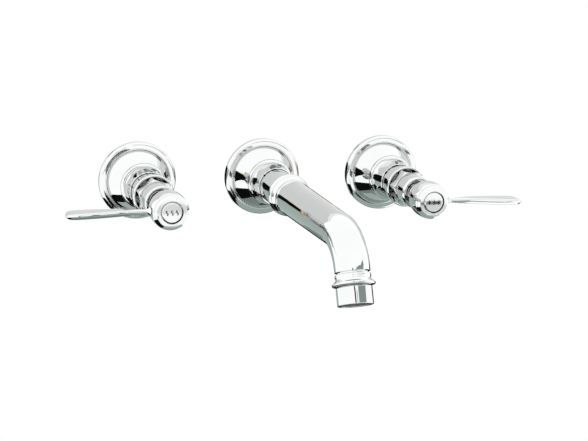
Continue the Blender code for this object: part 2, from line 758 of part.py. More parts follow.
def make_lever(name, pivot, inward):
    """Slim lever that flares at the hub and widens to a flat paddle with a rounded tip."""
    start = hub_radius + fit
    length = lever_reach - start
    spigot_half = lever_spigot_radius * math.cos(math.pi / rod_facets) * math.cos(math.pi / 8)
    stations = [(hub_radius - lever_spigot_depth, spigot_half, spigot_half, 0), (start, spigot_half, spigot_half, 0)]
    for along, width, height in lever_shares:
        flatness = (along - lever_flat_from_share) / (lever_flat_to_share - lever_flat_from_share)
        stations.append((start + along * length, width * lever_half_width, height * lever_half_height,
                         min(1, max(0, flatness))))
    bm = bmesh.new()
    rings = []
    for reach, half_width, half_height, flatness in stations:
        corners = lever_section(half_width, half_height, flatness)
        rings.append([bm.verts.new((across, up, reach)) for across, up in corners])
    for lower, upper in zip(rings, rings[1:]):
        for corner in range(len(lower)):
            following = (corner + 1) % len(lower)
            bm.faces.new((lower[corner], lower[following], upper[following], upper[corner]))
    bm.faces.new(rings[0])
    bm.faces.new(rings[-1])
    sideways = Matrix.Translation((0, 0, lever_out)) @ Matrix.Rotation(-inward * math.pi / 2, 4, "Y")
    finished(aimed(to_object(name, bm), sideways), "chrome", Matrix.Identity(4), pivot)


def make_handle_screw(name, pivot):
    """Slotted screw that draws the hub onto the extension rod."""
    outline = ((0, screw_tip), (screw_radius, screw_tip), (screw_radius, screw_head_low),
               (screw_head_radius, screw_head_low), (screw_head_radius, screw_head_high),
               (0, screw_head_high))
    screw = turned(name, outline, rod_facets)
    slot_size = (3 * screw_head_radius, screw_slot_width, screw_head_height)
    slot = block("slot", slot_size, (0, 0, screw_head_high))
    finished(cut(screw, slot), "steel", Matrix.Identity(4), pivot)


def make_index_cap(name, pivot):
    """Flat disc in the hub's face, on a spigot that screws into the screw's room."""
    top = hub_face_out + cap_proud
    spigot = screw_room_radius - cap_spigot_play
    outline = ((0, cap_spigot_low), (spigot, cap_spigot_low),
               (spigot, cap_low), (cap_radius, cap_low), (cap_radius, top - cap_edge),
               (cap_radius - cap_edge, top), (0, top))
    finished(turned(name, outline), "chrome", Matrix.Identity(4), pivot)


def make_nipple(name, place):
    bore = nipple_radius - nipple_wall
    finished(tube(name, nipple_radius, bore, -nipple_in_wall, nipple_end), "brass", place)


def make_adapter(name, place):
    """Threaded on the nipple inside the sleeve, with a grooved spigot that enters the spout."""
    thread = nipple_radius + fit
    spigot = spout_spigot_radius
    spigot_end = spout_start + adapter_spigot_length
    groove_low = spout_start + spout_oring_inset - oring_section / 2 - fit
    groove_high = groove_low + oring_section + 2 * fit
    groove_radius = spigot - oring_section
    outline = ((thread, adapter_start), (adapter_radius, adapter_start), (adapter_radius, ring_end),
               (spigot, ring_end), (spigot, groove_low), (groove_radius, groove_low),
               (groove_radius, groove_high), (spigot, groove_high), (spigot, spigot_end),
               (adapter_bore_radius, spigot_end), (adapter_bore_radius, nipple_end + fit),
               (thread, nipple_end + fit))
    finished(turned(name, outline, round_facets), "brass", place)


def make_spout_ring(name, place):
    outline = shaped(ring_shares, adapter_radius + fit, ring_radius, ring_low, ring_end)
    outline += [(adapter_radius + fit, ring_end), (adapter_radius + fit, ring_low)]
    finished(turned(name, outline), "chrome", place)


def spout_sections():
    """Distance out, height, slope, plain radius and cuff rise of each section of the spout."""
    stations = []
    for along, rise in spout_cuff_shares:
        stations.append((spout_start + spout_cuff_length * along, 0, 0, spout_cuff_rise * rise))
    for step in range(bend_steps + 1):
        slope = spout_bend * step / bend_steps
        stations.append((spout_straight_end + spout_bend_radius * math.sin(slope),
                         -spout_bend_radius * (1 - math.cos(slope)), slope, 0))
    stations.append((outlet_centre, -outlet_drop, spout_bend, 0))
    travelled = [0]
    for before, after in zip(stations, stations[1:]):
        travelled.append(travelled[-1] + math.hypot(after[0] - before[0], after[1] - before[1]))
    sections = []
    for (out, height, slope, rise), distance in zip(stations, travelled):
        taper = (spout_root_radius - spout_tip_radius) * distance / travelled[-1]
        sections.append((out, height, slope, spout_root_radius - taper, rise))
    return sections


def make_spout_tube(name):
    """The bent spout: a cuff at the ring, a straight run and one bend, tapering slightly."""
    bm = bmesh.new()
    outer, inner = [], []
    for out, height, slope, radius, rise in spout_sections():
        outer.append(section_ring(bm, radius + rise, out, height, slope))
        inner.append(section_ring(bm, radius - spout_wall, out, height, slope))
    loops = outer + inner[::-1]
    for first, second in zip(loops, loops[1:] + loops[:1]):
        for corner in range(round_facets):
            following = (corner + 1) % round_facets
            bm.faces.new((first[corner], first[following], second[following], second[corner]))
    finished(to_object(name, bm), "chrome", Matrix.Identity(4))


def section_ring(bm, radius, out, height, slope):
    """One round section of the spout, square to its centre line."""
    ring = []
    for corner in range(round_facets):
        turn = 2 * math.pi * (corner + 0.5) / round_facets
        lift = radius * math.sin(turn)
        ring.append(bm.verts.new((radius * math.cos(turn), -(out + lift * math.sin(slope)),
                                  height + lift * math.cos(slope))))
    return ring


def make_outlet_collar(name):
    """Flared collar: a spigot in the spout's end above, a thread for the aerator below."""
    spigot = outlet_spigot_radius
    top = fit
    flare_end = top + flare_height
    thread_end = flare_end + outlet_thread_length
    outline = [(outlet_bore_radius, -outlet_spigot_length), (spigot, -outlet_spigot_length), (spigot, top)]
    outline += shaped(flare_shares, spout_tip_radius, flare_radius, top, flare_end)
    outline += [(outlet_thread_radius, flare_end), (outlet_thread_radius, thread_end),
                (outlet_bore_radius, thread_end)]
    finished(turned(name, outline), "chrome", outlet_axis)


def make_aerator():
    """Shell, rubber gasket and moulded insert of the aerator, from the collar down."""
    shell_top = fit + flare_height + fit
    shell_end = shell_top + aerator_height
    bore = outlet_thread_radius + fit
    lip_top = shell_end - aerator_lip_height
    lip_bore = bore - aerator_lip
    shell = turned("aerator_shell", ((bore, shell_top), (aerator_radius - fit, shell_top),
                                     (aerator_radius, shell_top + fit), (aerator_radius, shell_end - fit),
                                     (aerator_radius - fit, shell_end), (lip_bore, shell_end),
                                     (lip_bore, lip_top), (bore, lip_top)))
    finished(shell, "chrome", outlet_axis)
    insert_end = lip_top - fit
    insert_top = insert_end - aerator_insert_thickness
    insert = rod("aerator_insert", outlet_thread_radius, insert_top, insert_end, round_facets)
    reach = (aerator_cell_count - 1) / 2
    for row in range(aerator_cell_count):
        for column in range(aerator_cell_count):
            across, down = (row - reach) * aerator_cell_pitch, (column - reach) * aerator_cell_pitch
            if math.hypot(across, down) + aerator_cell > lip_bore:
                continue
            cell = block("cell", (aerator_cell, aerator_cell, 3 * aerator_insert_thickness),
                         (across, down, (insert_top + insert_end) / 2))
            cut(insert, cell)
    finished(insert, "nylon", outlet_axis)
    gasket_end = insert_top - fit
    gasket_top = gasket_end - aerator_gasket_thickness
    gasket = tube("aerator_gasket", outlet_thread_radius, outlet_bore_radius, gasket_top, gasket_end)
    finished(gasket, "rubber", outlet_axis)


def make_valve(side_name, side, nut_turn, droop):
    """Everything on one handle's axis: the fixed valve, then what turns with the handle."""
    centre = side * handle_spacing
    inward = -side
    place = Matrix.Translation((centre, 0, 0)) @ wall_axis
    make_escutcheon(side_name + "_escutcheon", place)
    make_wall_gasket(side_name + "_wall_gasket", place)
    make_sleeve(side_name + "_sleeve", handle_sleeve_end, place)
    make_valve_body(side_name + "_valve_body", inward, place)
    make_union_nut(side_name + "_union_nut", inward, place)
    make_olive(side_name + "_olive", inward, place)
    make_crossover(side_name + "_crossover_pipe", side)
    make_seat_gasket(side_name + "_seat_gasket", place)
    make_cartridge_body(side_name + "_cartridge_body", place)
    make_fixed_disc(side_name + "_fixed_disc", place)
    make_barrel(side_name + "_extension_barrel", place)
    make_bonnet_nut(side_name + "_bonnet_nut", nut_turn, place)
    make_gland(side_name + "_stem_gland", place)
    make_oring(side_name + "_stem_oring", rod_bore, oring_section - fit, oring_out, inner_facets, place)
    make_collar(side_name + "_stem_collar", place)
    pivot = bpy.data.objects.new(side_name + "_handle_pivot", None)
    bpy.context.scene.collection.objects.link(pivot)
    pivot.location = (centre, 0, 0)
    pivot.rotation_euler = (math.pi / 2, side * droop, 0)
    make_moving_disc(side_name + "_moving_disc", pivot)
    make_spindle(side_name + "_cartridge_spindle", pivot)
    make_extension(side_name + "_spindle_extension", pivot)
    make_hub(side_name + "_handle_hub", pivot, inward)
    make_lever(side_name + "_lever", pivot, inward)
    make_handle_screw(side_name + "_handle_screw", pivot)
    make_index_cap(side_name + "_index_cap", pivot)


def make_spout():
    """Everything on the spout's axis, from the tee in the wall to the aerator."""
    make_escutcheon("spout_escutcheon", wall_axis)
    make_wall_gasket("spout_wall_gasket", wall_axis)
    make_sleeve("spout_sleeve", spout_sleeve_end, wall_axis)
    make_mixing_tee("mixing_tee", wall_axis)
    make_nipple("spout_nipple", wall_axis)
    make_adapter("spout_adapter", wall_axis)
    make_oring("spout_oring", spout_spigot_radius - oring_section + fit, oring_section - fit,
               spout_start + spout_oring_inset, round_facets, wall_axis)
    make_spout_ring("spout_ring", wall_axis)
    make_spout_tube("spout_tube")
    make_outlet_collar("outlet_collar")
    make_aerator()


make_valve("hot", -1, hot_nut_turn, hot_lever_droop)
make_valve("cold", 1, cold_nut_turn, cold_lever_droop)
make_spout()
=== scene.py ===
"""The looks of a wall-mounted three-hole basin faucet: polished chrome in a white studio.

Metres, +Z up, the wall is the plane y = 0 and the user stands at -Y. A distance called
"out" is measured out of the wall. Turned pieces are drawn as (radius, out) outlines.
"""
import json
import math

import bmesh
import bpy
from mathutils import Matrix, Vector


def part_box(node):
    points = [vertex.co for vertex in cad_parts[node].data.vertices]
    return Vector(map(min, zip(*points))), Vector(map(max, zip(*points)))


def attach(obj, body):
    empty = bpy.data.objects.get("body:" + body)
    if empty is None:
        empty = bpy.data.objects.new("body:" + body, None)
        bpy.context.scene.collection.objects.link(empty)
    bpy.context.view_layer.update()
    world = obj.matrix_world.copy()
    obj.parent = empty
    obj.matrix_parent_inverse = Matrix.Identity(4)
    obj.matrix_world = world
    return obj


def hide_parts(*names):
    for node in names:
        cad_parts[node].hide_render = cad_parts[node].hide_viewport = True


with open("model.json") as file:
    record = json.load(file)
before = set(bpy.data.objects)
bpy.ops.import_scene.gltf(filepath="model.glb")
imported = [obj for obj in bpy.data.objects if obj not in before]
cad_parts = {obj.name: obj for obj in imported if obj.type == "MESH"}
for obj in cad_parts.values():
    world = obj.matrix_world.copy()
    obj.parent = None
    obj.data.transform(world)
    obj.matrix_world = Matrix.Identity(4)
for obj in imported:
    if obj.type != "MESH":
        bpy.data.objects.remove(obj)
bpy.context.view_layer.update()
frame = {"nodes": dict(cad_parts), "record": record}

# Fineness of the visible surfaces
turn_steps = 160
fillet_steps = 5
cove_steps = 28
bead_steps = 20
rim_steps = 14
groove_steps = 8
flange_steps = 14
lip_steps = 16
curve_steps = 6
ball_steps = 8
ring_steps = 7
straight_steps = 24
bend_steps = 48
nut_steps = 360
nut_side_steps = 6
nut_chamfer_steps = 16
wave_steps = 16
lever_edge_steps = 6
lever_reach_steps = 8
sharp_angle = math.radians(35)
normal_weight = 60
corner_sharpness = 60
same_place = 1e-7

# A round solid has flat facets, so its box reaches this share of its radius
cad_facet_share = math.cos(math.pi / 20)

# Where rounded edges start and end, in degrees: 0 faces away from the axis and 90 out of the wall
rim_arc = (0, 88)
groove_arc = (92, 165)
bead_arc = (-80, 80)
flange_arc = (0, 180)
lip_arc = (30, 175)

# Sizes that the frame's boxes don't give, in metres and radians or as shares of another size
edge = 0.0003

# Sleeves and bell plates
sleeve_wall = 0.0014
rim_width = 0.0047
rim_height = 0.0055
rim_round = 0.0024
rim_groove_width = 0.0004
rim_groove_depth = 0.0003
rim_face_width = 0.003
bell_wall = 0.0018
bell_lean = math.radians(28)
bell_flat_reach = 0.0005
bell_steep_reach = 0.0150
bell_lip = 0.0008
bell_foot_step = 0.0003
bell_floor = 0.0031
bead_low = 0.0208
bead_height = 0.0056
bead_step = 0.0016
bead_depth = 0.0010
neck_root_step = 0.0027
neck_end = 0.0415

# Nuts and collars
nut_ring_width = 0.0018
nut_ring_height = 0.0037
nut_ring_recess = 0.0026
nut_corner_step = 0.0012
nut_chamfer = 0.0018
nut_chamfer_slope = 2
nut_bore = 0.0083
collar_lip = 0.0010
collar_recess_depth = 0.0040
collar_recess_radius = 0.0108

# Handles
hub_radius = 0.0138
hub_bore = 0.0044
hub_neck_radius = 0.0079
hub_neck_bead = 0.0014
hub_neck_length = 0.0100
hub_ball_height = 0.0208
hub_shoulder_step = 0.0013
hub_ledge_height = 0.0009
hub_face_step = 0.0028
hub_face_rise = 0.0006
cap_seat_depth = 0.0030
cap_thickness = 0.0029
cap_face_step = 0.0011
cap_edge_depth = 0.0013

# Levers, whose section goes from eight-sided at the hub to flat with bevels
lever_half_width = 0.0070
lever_half_height = 0.00245
lever_top_edge_share = 0.25
lever_eighth_share = 2 - math.sqrt(2)
lever_bevel_height_share = 1.0
lever_bevel_width_share = 0.8
lever_bevel_slope = math.tan(math.radians(50))
lever_flat_from_share = 0.05
lever_flat_to_share = 0.30
lever_soft_edge = 0.0005
lever_spigot_radius = 0.0020
lever_spigot_depth = 0.0058
lever_height_share = 0.748

# What differs between the two valves
hot_lever_droop = math.radians(0.9)
cold_lever_droop = math.radians(2.5)
hot_nut_turn = math.radians(-20)
cold_nut_turn = math.radians(-8)

# Marks on the caps
mark_height = 0.0036
mark_stroke = 0.00085
mark_pitch = 0.0037
mark_sway_share = 0.7
mark_proud = 0.00004
mark_depth = 3 * mark_proud

# Spout and outlet
spout_root_radius = 0.0134
spout_tip_radius = 0.0122
spout_wall = 0.0025
spout_cuff_length = 0.005
spout_cuff_rise = 0.0006
spout_straight_length = 0.1021
spout_bend_radius = 0.0335
spout_bend = math.radians(66.5)
spout_tip_length = 0.0014
flare_height = 0.0098
flare_groove = 0.0012
flare_radius = 0.0149
outlet_gap = 0.0007
outlet_spigot_length = 0.004
outlet_spigot_wall = 0.0014
outlet_thread_length = 0.0072
aerator_radius = 0.0124
aerator_height = 0.0124
aerator_wall = 0.0014
aerator_lip = 0.0010
aerator_lip_height = 0.0008

# Outlines as shares of a piece's radius range and of its length
neck_shares = ((0.00, 0.04), (0.00, 0.50), (0.55, 0.53), (1.00, 0.60), (1.00, 0.74), (0.62, 0.81),
               (0.02, 0.84), (0.00, 0.98))
ball_shares = ((0.62, 0.035), (0.735, 0.075), (0.86, 0.17), (0.955, 0.32), (0.992, 0.46), (1.00, 0.60),
               (0.998, 0.74), (0.985, 0.88), (0.970, 0.97))
ring_shares = ((0.08, 0.00), (0.62, 0.05), (0.93, 0.17), (1.00, 0.30), (0.93, 0.44), (0.70, 0.52),
               (0.70, 0.54), (0.82, 0.61), (0.84, 0.72), (0.68, 0.86), (0.34, 0.97), (0.10, 1.00))
flare_shares = ((0.00, 0.00), (0.00, 0.09), (0.30, 0.11), (0.33, 0.15), (0.36, 0.28), (0.30, 0.46),
                (0.58, 0.61), (0.86, 0.715), (0.98, 0.775), (1.00, 0.82), (0.95, 0.895), (0.70, 0.955),
                (0.10, 1.00))

# How far along the lever, and its width and height there, as shares of its length, width and height
lever_shares = ((0.000, 0.471, 1.347), (0.010, 0.386, 1.102), (0.025, 0.293, 0.837), (0.050, 0.250, 0.714),
                (0.090, 0.286, 0.755), (0.140, 0.357, 0.837), (0.240, 0.486, 0.918), (0.374, 0.657, 0.960),
                (0.540, 0.814, 0.990), (0.710, 0.929, 1.000), (0.860, 0.993, 0.980), (0.920, 0.971, 0.940),
                (0.956, 0.886, 0.816), (0.982, 0.714, 0.590), (0.995, 0.457, 0.330), (1.000, 0.200, 0.120))

# How far along the spout's cuff, and how high it stands there, as shares of its length and of its rise
cuff_shares = ((0.00, -2.4), (0.16, -2.4), (0.18, -0.6), (0.22, 0.3), (0.32, 0.9), (0.45, 1.0),
               (0.80, 1.0), (0.92, 0.55), (1.00, 0.1))

wall_axis = Matrix.Rotation(math.pi / 2, 4, "X")


def span(node):
    """How far out of the wall a round node starts and ends, and its radius."""
    low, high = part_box(node)
    return -high.y, -low.y, (high.z - low.z) / 2 / cad_facet_share


def centre_x(node):
    low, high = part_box(node)
    return (low.x + high.x) / 2


# Outlines

def rounded(corners, closed=True, steps=fillet_steps):
    """An outline whose corners, given as (radius, out) or (radius, out, fillet), are rounded."""
    outline = []
    count = len(corners)
    for index, corner in enumerate(corners):
        here = Vector(corner[:2])
        fillet = corner[2] if len(corner) > 2 else 0
        at_end = index in (0, count - 1) and not closed
        if not fillet or at_end:
            outline.append(tuple(here))
            continue
        back = (Vector(corners[index - 1][:2]) - here).normalized()
        ahead = (Vector(corners[(index + 1) % count][:2]) - here).normalized()
        half = back.angle(ahead) / 2
        centre = here + (back + ahead).normalized() * fillet / math.sin(half)
        start = here + back * fillet / math.tan(half) - centre
        end = here + ahead * fillet / math.tan(half) - centre
        sweep = start.angle_signed(end)
        for step in range(steps + 1):
            turn = Matrix.Rotation(-sweep * step / steps, 2)
            outline.append(tuple(centre + turn @ start))
    return outline


def cove(wide, low, narrow, high, steps=cove_steps):
    """A hollow quarter ellipse that leaves (wide, low) flat and reaches (narrow, high) upright."""
    points = []
    for step in range(steps + 1):
        turn = math.pi / 2 * step / steps
        points.append((wide - (wide - narrow) * math.sin(turn), high - (high - low) * math.cos(turn)))
    return points


def bell_slope(wide, low, narrow, high):
    """A nearly straight slope that leaves (wide, low) flat and reaches (narrow, high) at the bell's lean."""
    steep = Vector((narrow + bell_steep_reach * math.sin(bell_lean),
                    high - bell_steep_reach * math.cos(bell_lean)))
    corners = [Vector((wide, low)), Vector((wide - bell_flat_reach, low)), steep, Vector((narrow, high))]
    points = []
    for step in range(cove_steps + 1):
        pull = step / cove_steps
        curve = corners
        while len(curve) > 1:
            curve = [one.lerp(other, pull) for one, other in zip(curve, curve[1:])]
        points.append(tuple(curve[0]))
    return points


def arc(centre, radius, start, end, steps, across=None):
    """Points round a centre (radius, out) between two angles in degrees; across is an oval's half width."""
    points = []
    for step in range(steps + 1):
        turn = math.radians(start + (end - start) * step / steps)
        points.append((centre[0] + (across or radius) * math.cos(turn), centre[1] + radius * math.sin(turn)))
    return points


def flowing(points, steps):
    """A smooth curve through the points, with this many steps between two of them."""
    curve = []
    for index in range(len(points) - 1):
        before = Vector(points[max(index - 1, 0)])
        start = Vector(points[index])
        end = Vector(points[index + 1])
        after = Vector(points[min(index + 2, len(points) - 1)])
        for step in range(steps):
            t = step / steps
            curve.append(tuple(0.5 * (2 * start + (end - before) * t
                                      + (2 * before - 5 * start + 4 * end - after) * t ** 2
                                      + (3 * start - before - 3 * end + after) * t ** 3)))
    curve.append(tuple(points[-1]))
    return curve


def shaped(shares, low_radius, high_radius, low, high):
    """Outline points from shares of a radius range and of a length."""
    width = high_radius - low_radius
    return [(low_radius + across * width, low + up * (high - low)) for across, up in shares]


# Meshes

def to_object(name, bm):
    bmesh.ops.remove_doubles(bm, verts=bm.verts, dist=same_place)
    bmesh.ops.recalc_face_normals(bm, faces=bm.faces)
    mesh = bpy.data.meshes.new(name)
    bm.to_mesh(mesh)
    bm.free()
    made = bpy.data.objects.new(name, mesh)
    bpy.context.scene.collection.objects.link(made)
    return made


def join_rings(bm, rings, closed=True):
    """Quads between neighbouring rings, and if closed from the last ring back to the first."""
    for lower, upper in zip(rings, rings[1:] + rings[:closed]):
        for step in range(len(lower)):
            following = (step + 1) % len(lower)
            bm.faces.new((lower[step], lower[following], upper[following], upper[step]))


def lofted(name, rings):
    """A closed surface through rings of (radius, out), all with the same number of points."""
    bm = bmesh.new()
    made = []
    for ring in rings:
        verts = []
        for step, (radius, out) in enumerate(ring):
            turn = 2 * math.pi * step / len(ring)
            verts.append(bm.verts.new((radius * math.cos(turn), radius * math.sin(turn), out)))
        made.append(verts)
    join_rings(bm, made)
    return to_object(name, bm)


def turned(name, outline):
    """Spin an outline round the local Z axis, closed between its ends or on the axis."""
    bm = bmesh.new()
    rings = []
    for radius, out in outline:
        if radius < same_place:
            rings.append([bm.verts.new((0, 0, out))] * turn_steps)
            continue
        ring = []
        for step in range(turn_steps):
            turn = 2 * math.pi * step / turn_steps
            ring.append(bm.verts.new((radius * math.cos(turn), radius * math.sin(turn), out)))
        rings.append(ring)
    pairs = list(zip(rings, rings[1:]))
    if outline[0][0] > 0 or outline[-1][0] > 0:
        pairs.append((rings[-1], rings[0]))
    for lower, upper in pairs:
        for step in range(turn_steps):
            following = (step + 1) % turn_steps
            corners = [lower[step], lower[following], upper[following], upper[step]]
            corners = list(dict.fromkeys(corners))
            if len(corners) > 2:
                bm.faces.new(corners)
    return to_object(name, bm)


def placed(piece, place, material, slot, body, *nodes):
    """Finish a piece: smooth shading, material, place, body and the nodes it stands for. The slot argument
    is not used.
    """
    piece.data.transform(place)
    for one in material if isinstance(material, tuple) else (material,):
        piece.data.materials.append(one)
    piece.data.shade_smooth()
    piece.data.set_sharp_from_angle(angle=sharp_angle)
    weighted = piece.modifiers.new("weighted normals", "WEIGHTED_NORMAL")
    weighted.keep_sharp = True
    weighted.weight = normal_weight
    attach(piece, body)
    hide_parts(*nodes)
    return piece


# Materials

# The part of a noise texture's range that a material spreads over its own range
noise_low = 0.3
noise_high = 0.7
metal_mark_depth = 0.00002
metal_mark_strength = 0.4
dull_grain_strength = 0.5
# How many times coarser a material's tint is than its marks or grain
metal_tint_coarseness = 8
dull_tint_coarseness = 6
chrome_colour = (0.549, 0.560, 0.556)
chrome_dark = (0.542, 0.554, 0.550)
chrome_light = (0.558, 0.568, 0.564)
chrome_roughness = 0.03
chrome_smoothest = 0.018
chrome_roughest = 0.04
chrome_cloud_scale = 60
chrome_gloss_scale = 220


def shader_of(name, colour, metallic, roughness):
    """A new material and its Principled shader."""
    material = bpy.data.materials.new(name)
    material.use_nodes = True
    nodes = material.node_tree.nodes
    shader = nodes["Principled BSDF"]
    shader.inputs["Base Color"].default_value = (*colour, 1)
    shader.inputs["Metallic"].default_value = metallic
    shader.inputs["Roughness"].default_value = roughness
    return material, shader


def noise(material, scale, detail, stretch=(1, 1, 1)):
    """A noise texture in the object's own metres, as the node's factor output."""
    nodes, links = material.node_tree.nodes, material.node_tree.links
    place = nodes.new("ShaderNodeTexCoord")
    mapping = nodes.new("ShaderNodeMapping")
    mapping.inputs["Scale"].default_value = stretch
    texture = nodes.new("ShaderNodeTexNoise")
    texture.inputs["Scale"].default_value = scale
    texture.inputs["Detail"].default_value = detail
    links.new(place.outputs["Object"], mapping.inputs["Vector"])
    links.new(mapping.outputs["Vector"], texture.inputs["Vector"])
    return texture.outputs["Fac"]


def varied(material, factor, low, high, socket):
    """Drive a number socket between two values."""
    nodes, links = material.node_tree.nodes, material.node_tree.links
    ramp = nodes.new("ShaderNodeMapRange")
    ramp.inputs["From Min"].default_value = noise_low
    ramp.inputs["From Max"].default_value = noise_high
    ramp.inputs["To Min"].default_value = low
    ramp.inputs["To Max"].default_value = high
    links.new(factor, ramp.inputs["Value"])
    links.new(ramp.outputs["Result"], socket)


def tinted(material, shader, factor, dark, light):
    """Drive the base colour between two colours."""
    nodes, links = material.node_tree.nodes, material.node_tree.links
    ramp = nodes.new("ShaderNodeValToRGB")
    ramp.color_ramp.elements[0].position = noise_low
    ramp.color_ramp.elements[0].color = (*dark, 1)
    ramp.color_ramp.elements[1].position = noise_high
    ramp.color_ramp.elements[1].color = (*light, 1)
    links.new(factor, ramp.inputs["Fac"])
    links.new(ramp.outputs["Color"], shader.inputs["Base Color"])


def bumped(material, shader, factor, distance, strength):
    """Let a factor raise and lower the surface in its shading."""
    nodes, links = material.node_tree.nodes, material.node_tree.links
    bump = nodes.new("ShaderNodeBump")
    bump.inputs["Distance"].default_value = distance
    bump.inputs["Strength"].default_value = strength
    links.new(factor, bump.inputs["Height"])
    links.new(bump.outputs["Normal"], shader.inputs["Normal"])


def chrome_material():
    """Mirror chrome plate: faint cloudiness in its gloss and tint, no grain to see."""
    material, shader = shader_of("polished_chrome", chrome_colour, 1.0, chrome_roughness)
    tinted(material, shader, noise(material, chrome_cloud_scale, detail=3), chrome_dark, chrome_light)
    gloss = noise(material, chrome_gloss_scale, detail=5)
    varied(material, gloss, chrome_smoothest, chrome_roughest, shader.inputs["Roughness"])
    return material


def metal_material(name, dark, light, low, high, scale, stretch=(1, 1, 1)):
    """A machined or drawn metal with fine tool marks."""
    material, shader = shader_of(name, light, 1.0, low)
    tinted(material, shader, noise(material, scale / metal_tint_coarseness, detail=5), dark, light)
    marks = noise(material, scale, detail=6, stretch=stretch)
    varied(material, marks, low, high, shader.inputs["Roughness"])
    bumped(material, shader, marks, metal_mark_depth, metal_mark_strength)
    return material


def dull_material(name, dark, light, low, high, scale, depth):
    """Rubber, foam, ceramic or moulded plastic with its own fine texture."""
    material, shader = shader_of(name, light, 0.0, low)
    tinted(material, shader, noise(material, scale / dull_tint_coarseness, detail=4), dark, light)
    grain = noise(material, scale, detail=6)
    varied(material, grain, low, high, shader.inputs["Roughness"])
    bumped(material, shader, grain, depth, dull_grain_strength)
    return material


chrome = chrome_material()
brass = metal_material("machined_brass", (0.60, 0.40, 0.15), (0.72, 0.52, 0.24), 0.22, 0.38, 1800, (1, 9, 1))
copper = metal_material("drawn_copper", (0.62, 0.28, 0.16), (0.78, 0.42, 0.28), 0.20, 0.36, 1200,
                        (0.1, 1, 1))
steel = metal_material("turned_steel", (0.45, 0.45, 0.46), (0.60, 0.60, 0.61), 0.24, 0.36, 2400)
rubber = dull_material("black_rubber", (0.016, 0.016, 0.016), (0.035, 0.035, 0.035), 0.60, 0.80, 1500,
                       0.00003)
foam = dull_material("grey_foam", (0.06, 0.06, 0.065), (0.13, 0.13, 0.14), 0.85, 0.97, 2600, 0.0002)
ceramic = dull_material("lapped_ceramic", (0.80, 0.78, 0.72), (0.88, 0.86, 0.80), 0.18, 0.28, 900, 0.000004)
nylon = dull_material("moulded_nylon", (0.05, 0.055, 0.055), (0.09, 0.095, 0.095), 0.40, 0.52, 1100,
                      0.00001)
fill = dull_material("mark_enamel", (0.012, 0.012, 0.012), (0.025, 0.025, 0.025), 0.30, 0.45, 2000,
                     0.000005)

finish_of_slot = {"brass": brass, "copper_tube": copper, "steel": steel, "rubber": rubber, "foam": foam,
                  "ceramic": ceramic, "nylon": nylon, "polished_chrome": chrome}
for subpart in frame["record"]["subparts"]:
    node = frame["nodes"].get(subpart["node"])
    if node is not None:
        node.data.materials.clear()
        node.data.materials.append(finish_of_slot[subpart["material_slot"]])


# Pieces on the wall

def make_escutcheon(name, place):
    """Bell plate: rounded rim, groove, nearly straight slope, bead and a cove up to the sleeve."""
    low, high, radius = span(name)
    sleeve_radius = span(name.replace("escutcheon", "sleeve"))[2]
    rim_inner = radius - rim_width
    bead_half = bead_height / 2
    neck_root = sleeve_radius + neck_root_step
    bead_centre = neck_root + bead_step - bead_depth
    bead_high = bead_low + bead_height
    bore = sleeve_radius + edge
    groove_floor = rim_height - rim_groove_depth
    rim_top = (rim_inner + rim_groove_depth, groove_floor)
    outline = [(radius - edge, low), (radius, low + edge)]
    outline += arc((radius - rim_round, rim_height - rim_round), rim_round, *rim_arc, rim_steps)
    outline += arc(rim_top, rim_groove_depth, *groove_arc, groove_steps)
    outline += [(rim_inner, groove_floor)]
    outline += bell_slope(rim_inner - rim_groove_width, groove_floor, bead_centre + bell_foot_step, bead_low)
    outline += arc((bead_centre, bead_low + bead_half), bead_half, *bead_arc, bead_steps, bead_depth)
    outline += cove(neck_root, bead_high, bore + bell_lip, neck_end - edge)
    outline += [(bore + bell_lip - edge, neck_end), (bore, neck_end), (bore, bead_high + bell_wall)]
    hollow = cove(rim_inner - bell_wall, bell_floor, bead_centre - bell_wall, bead_high, cove_steps // 2)
    outline += reversed(hollow)
    outline += [(radius - rim_face_width, bell_floor - bell_lip), (radius - rim_face_width, low)]
    placed(turned(name + "_plate", outline), place, chrome, "polished_chrome", "root", name)


def make_sleeve(name, place):
    low, high, radius = span(name)
    bore = radius - sleeve_wall
    outline = rounded([(bore, low), (radius, low, edge), (radius, high, edge), (bore, high, edge)])
    placed(turned(name + "_tube", outline), place, chrome, "polished_chrome", "root", name)


# Nut and collar

def soft_least(one, other):
    """The lesser of two radii, rounded where they meet."""
    return (one ** -corner_sharpness + other ** -corner_sharpness) ** (-1 / corner_sharpness)


def hexagon_radius(turn, flats):
    """How far a hexagon's edge lies from its centre, its corners slightly rounded."""
    total = 0
    for side in range(6):
        reach = math.cos(turn - math.radians(60 * side + 30)) / flats
        total += max(reach, 0) ** corner_sharpness
    return total ** (-1 / corner_sharpness)


